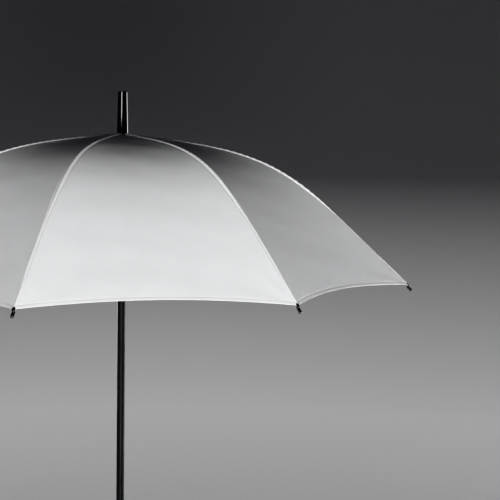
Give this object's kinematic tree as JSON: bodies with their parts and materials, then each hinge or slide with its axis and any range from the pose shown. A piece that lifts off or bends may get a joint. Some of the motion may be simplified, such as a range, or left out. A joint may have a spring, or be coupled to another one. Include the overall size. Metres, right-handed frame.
{
  "type": "umbrella reflector",
  "caption": "Folding silver fabric canopy on a straight tube shaft, which a light stand's umbrella bracket grips to bounce light",
  "frame": {"origin": "on the shaft's axis, where the stand's umbrella bracket grips it", "axes": "+Z along the shaft towards the ferrule, -Y along rib 1"},
  "size_m": [1.0182, 1.0182, 0.8273],
  "materials": {
    "shaft_enamel": "satin",
    "ferrule_gloss": "gloss",
    "black_nylon": "satin",
    "spring_steel": "satin",
    "rib_steel": "satin",
    "rib_fibreglass": "satin",
    "tip_plastic": "gloss",
    "silver_fabric": "satin"
  },
  "bodies": {
    "shaft": {"shaft": "shaft_enamel", "ferrule": "ferrule_gloss", "end_cap": "black_nylon", "crown": "black_nylon", "crown_wire": "spring_steel"},
    "rib_1": {"rib_inner_1": "rib_steel", "canopy_inner_1": "silver_fabric"},
    "rib_end_1": {"rib_outer_1": "rib_fibreglass", "tip_cap_1": "tip_plastic", "canopy_outer_1": "silver_fabric"},
    "strut_1": {"stretcher_1": "rib_steel"},
    "rib_2": {"rib_inner_2": "rib_steel", "canopy_inner_2": "silver_fabric"},
    "rib_end_2": {"rib_outer_2": "rib_fibreglass", "tip_cap_2": "tip_plastic", "canopy_outer_2": "silver_fabric"},
    "strut_2": {"stretcher_2": "rib_steel"},
    "rib_3": {"rib_inner_3": "rib_steel", "canopy_inner_3": "silver_fabric"},
    "rib_end_3": {"rib_outer_3": "rib_fibreglass", "tip_cap_3": "tip_plastic", "canopy_outer_3": "silver_fabric"},
    "strut_3": {"stretcher_3": "rib_steel"},
    "rib_4": {"rib_inner_4": "rib_steel", "canopy_inner_4": "silver_fabric"},
    "rib_end_4": {"rib_outer_4": "rib_fibreglass", "tip_cap_4": "tip_plastic", "canopy_outer_4": "silver_fabric"},
    "strut_4": {"stretcher_4": "rib_steel"},
    "rib_5": {"rib_inner_5": "rib_steel", "canopy_inner_5": "silver_fabric"},
    "rib_end_5": {"rib_outer_5": "rib_fibreglass", "tip_cap_5": "tip_plastic", "canopy_outer_5": "silver_fabric"},
    "strut_5": {"stretcher_5": "rib_steel"},
    "rib_6": {"rib_inner_6": "rib_steel", "canopy_inner_6": "silver_fabric"},
    "rib_end_6": {"rib_outer_6": "rib_fibreglass", "tip_cap_6": "tip_plastic", "canopy_outer_6": "silver_fabric"},
    "strut_6": {"stretcher_6": "rib_steel"},
    "rib_7": {"rib_inner_7": "rib_steel", "canopy_inner_7": "silver_fabric"},
    "rib_end_7": {"rib_outer_7": "rib_fibreglass", "tip_cap_7": "tip_plastic", "canopy_outer_7": "silver_fabric"},
    "strut_7": {"stretcher_7": "rib_steel"},
    "rib_8": {"rib_inner_8": "rib_steel", "canopy_inner_8": "silver_fabric"},
    "rib_end_8": {"rib_outer_8": "rib_fibreglass", "tip_cap_8": "tip_plastic", "canopy_outer_8": "silver_fabric"},
    "strut_8": {"stretcher_8": "rib_steel"},
    "runner": {"runner": "black_nylon", "runner_wire": "spring_steel"},
    "top_catch": {"top_catch": "spring_steel"},
    "bottom_catch": {"bottom_catch": "spring_steel"}
  },
  "joints": [
    {"name": "canopy_fold", "type": "hinge", "parent": "shaft", "child": "rib_1", "pos_m": [0, -0.012, 0.6831], "axis": [1, 0, 0], "range_deg": [0, 72.45], "deforming": ["canopy_inner_1"]},
    {"name": "rib_2_fold", "type": "hinge", "parent": "shaft", "child": "rib_2", "pos_m": [0.00849, -0.00849, 0.6831], "axis": [0.7071, 0.7071, 0], "range_deg": [0, 72.45], "deforming": ["canopy_inner_2"]},
    {"name": "rib_3_fold", "type": "hinge", "parent": "shaft", "child": "rib_3", "pos_m": [0.012, 0, 0.6831], "axis": [0, 1, 0], "range_deg": [0, 72.45], "deforming": ["canopy_inner_3"]},
    {"name": "rib_4_fold", "type": "hinge", "parent": "shaft", "child": "rib_4", "pos_m": [0.00849, 0.00849, 0.6831], "axis": [-0.7071, 0.7071, 0], "range_deg": [0, 72.45], "deforming": ["canopy_inner_4"]},
    {"name": "rib_5_fold", "type": "hinge", "parent": "shaft", "child": "rib_5", "pos_m": [0, 0.012, 0.6831], "axis": [-1, 0, 0], "range_deg": [0, 72.45], "deforming": ["canopy_inner_5"]},
    {"name": "rib_6_fold", "type": "hinge", "parent": "shaft", "child": "rib_6", "pos_m": [-0.00849, 0.00849, 0.6831], "axis": [-0.7071, -0.7071, 0], "range_deg": [0, 72.45], "deforming": ["canopy_inner_6"]},
    {"name": "rib_7_fold", "type": "hinge", "parent": "shaft", "child": "rib_7", "pos_m": [-0.012, 0, 0.6831], "axis": [0, -1, 0], "range_deg": [0, 72.45], "deforming": ["canopy_inner_7"]},
    {"name": "rib_8_fold", "type": "hinge", "parent": "shaft", "child": "rib_8", "pos_m": [-0.00849, -0.00849, 0.6831], "axis": [0.7071, -0.7071, 0], "range_deg": [0, 72.45], "deforming": ["canopy_inner_8"]},
    {"name": "rib_1_spring", "type": "hinge", "parent": "rib_1", "child": "rib_end_1", "pos_m": [0, -0.27898, 0.62175], "axis": [1, 0, 0], "range_deg": [-21.87, 0], "deforming": ["canopy_outer_1"]},
    {"name": "rib_2_spring", "type": "hinge", "parent": "rib_2", "child": "rib_end_2", "pos_m": [0.19727, -0.19727, 0.62175], "axis": [0.7071, 0.7071, 0], "range_deg": [-21.87, 0], "deforming": ["canopy_outer_2"]},
    {"name": "rib_3_spring", "type": "hinge", "parent": "rib_3", "child": "rib_end_3", "pos_m": [0.27898, 0, 0.62175], "axis": [0, 1, 0], "range_deg": [-21.87, 0], "deforming": ["canopy_outer_3"]},
    {"name": "rib_4_spring", "type": "hinge", "parent": "rib_4", "child": "rib_end_4", "pos_m": [0.19727, 0.19727, 0.62175], "axis": [-0.7071, 0.7071, 0], "range_deg": [-21.87, 0], "deforming": ["canopy_outer_4"]},
    {"name": "rib_5_spring", "type": "hinge", "parent": "rib_5", "child": "rib_end_5", "pos_m": [0, 0.27898, 0.62175], "axis": [-1, 0, 0], "range_deg": [-21.87, 0], "deforming": ["canopy_outer_5"]},
    {"name": "rib_6_spring", "type": "hinge", "parent": "rib_6", "child": "rib_end_6", "pos_m": [-0.19727, 0.19727, 0.62175], "axis": [-0.7071, -0.7071, 0], "range_deg": [-21.87, 0], "deforming": ["canopy_outer_6"]},
    {"name": "rib_7_spring", "type": "hinge", "parent": "rib_7", "child": "rib_end_7", "pos_m": [-0.27898, 0, 0.62175], "axis": [0, -1, 0], "range_deg": [-21.87, 0], "deforming": ["canopy_outer_7"]},
    {"name": "rib_8_spring", "type": "hinge", "parent": "rib_8", "child": "rib_end_8", "pos_m": [-0.19727, -0.19727, 0.62175], "axis": [0.7071, -0.7071, 0], "range_deg": [-21.87, 0], "deforming": ["canopy_outer_8"]},
    {"name": "stretcher_1_pivot", "type": "hinge", "parent": "rib_1", "child": "strut_1", "pos_m": [0, -0.27898, 0.62175], "axis": [1, 0, 0], "range_deg": [-144.95, 0]},
    {"name": "stretcher_2_pivot", "type": "hinge", "parent": "rib_2", "child": "strut_2", "pos_m": [0.19727, -0.19727, 0.62175], "axis": [0.7071, 0.7071, 0], "range_deg": [-144.95, 0]},
    {"name": "stretcher_3_pivot", "type": "hinge", "parent": "rib_3", "child": "strut_3", "pos_m": [0.27898, 0, 0.62175], "axis": [0, 1, 0], "range_deg": [-144.95, 0]},
    {"name": "stretcher_4_pivot", "type": "hinge", "parent": "rib_4", "child": "strut_4", "pos_m": [0.19727, 0.19727, 0.62175], "axis": [-0.7071, 0.7071, 0], "range_deg": [-144.95, 0]},
    {"name": "stretcher_5_pivot", "type": "hinge", "parent": "rib_5", "child": "strut_5", "pos_m": [0, 0.27898, 0.62175], "axis": [-1, 0, 0], "range_deg": [-144.95, 0]},
    {"name": "stretcher_6_pivot", "type": "hinge", "parent": "rib_6", "child": "strut_6", "pos_m": [-0.19727, 0.19727, 0.62175], "axis": [-0.7071, -0.7071, 0], "range_deg": [-144.95, 0]},
    {"name": "stretcher_7_pivot", "type": "hinge", "parent": "rib_7", "child": "strut_7", "pos_m": [-0.27898, 0, 0.62175], "axis": [0, -1, 0], "range_deg": [-144.95, 0]},
    {"name": "stretcher_8_pivot", "type": "hinge", "parent": "rib_8", "child": "strut_8", "pos_m": [-0.19727, -0.19727, 0.62175], "axis": [0.7071, -0.7071, 0], "range_deg": [-144.95, 0]},
    {"name": "runner_travel", "type": "hinge", "parent": "strut_1", "child": "runner", "pos_m": [0, -0.012, 0.5604], "axis": [1, 0, 0], "range_deg": [0, 72.5]},
    {"name": "top_catch_press", "type": "hinge", "parent": "shaft", "child": "top_catch", "pos_m": [0, 0.0035, 0.4921], "axis": [1, 0, 0], "range_deg": [0, 7.5], "stiffness_Nm_per_rad": 0.12},
    {"name": "bottom_catch_press", "type": "hinge", "parent": "shaft", "child": "bottom_catch", "pos_m": [0, 0.0035, 0.08299], "axis": [1, 0, 0], "range_deg": [0, 7.5], "stiffness_Nm_per_rad": 0.12}
  ],
  "couplings": [
    {"joint": "rib_2_fold", "follows": "canopy_fold", "ratio": 1},
    {"joint": "rib_3_fold", "follows": "canopy_fold", "ratio": 1},
    {"joint": "rib_4_fold", "follows": "canopy_fold", "ratio": 1},
    {"joint": "rib_5_fold", "follows": "canopy_fold", "ratio": 1},
    {"joint": "rib_6_fold", "follows": "canopy_fold", "ratio": 1},
    {"joint": "rib_7_fold", "follows": "canopy_fold", "ratio": 1},
    {"joint": "rib_8_fold", "follows": "canopy_fold", "ratio": 1},
    {"joint": "rib_1_spring", "follows": "canopy_fold", "ratio": -0.3012},
    {"joint": "rib_2_spring", "follows": "canopy_fold", "ratio": -0.3012},
    {"joint": "rib_3_spring", "follows": "canopy_fold", "ratio": -0.3012},
    {"joint": "rib_4_spring", "follows": "canopy_fold", "ratio": -0.3012},
    {"joint": "rib_5_spring", "follows": "canopy_fold", "ratio": -0.3012},
    {"joint": "rib_6_spring", "follows": "canopy_fold", "ratio": -0.3012},
    {"joint": "rib_7_spring", "follows": "canopy_fold", "ratio": -0.3012},
    {"joint": "rib_8_spring", "follows": "canopy_fold", "ratio": -0.3012},
    {"joint": "stretcher_1_pivot", "follows": "canopy_fold", "ratio": -2},
    {"joint": "stretcher_2_pivot", "follows": "canopy_fold", "ratio": -2},
    {"joint": "stretcher_3_pivot", "follows": "canopy_fold", "ratio": -2},
    {"joint": "stretcher_4_pivot", "follows": "canopy_fold", "ratio": -2},
    {"joint": "stretcher_5_pivot", "follows": "canopy_fold", "ratio": -2},
    {"joint": "stretcher_6_pivot", "follows": "canopy_fold", "ratio": -2},
    {"joint": "stretcher_7_pivot", "follows": "canopy_fold", "ratio": -2},
    {"joint": "stretcher_8_pivot", "follows": "canopy_fold", "ratio": -2},
    {"joint": "runner_travel", "follows": "canopy_fold", "ratio": 1}
  ]
}
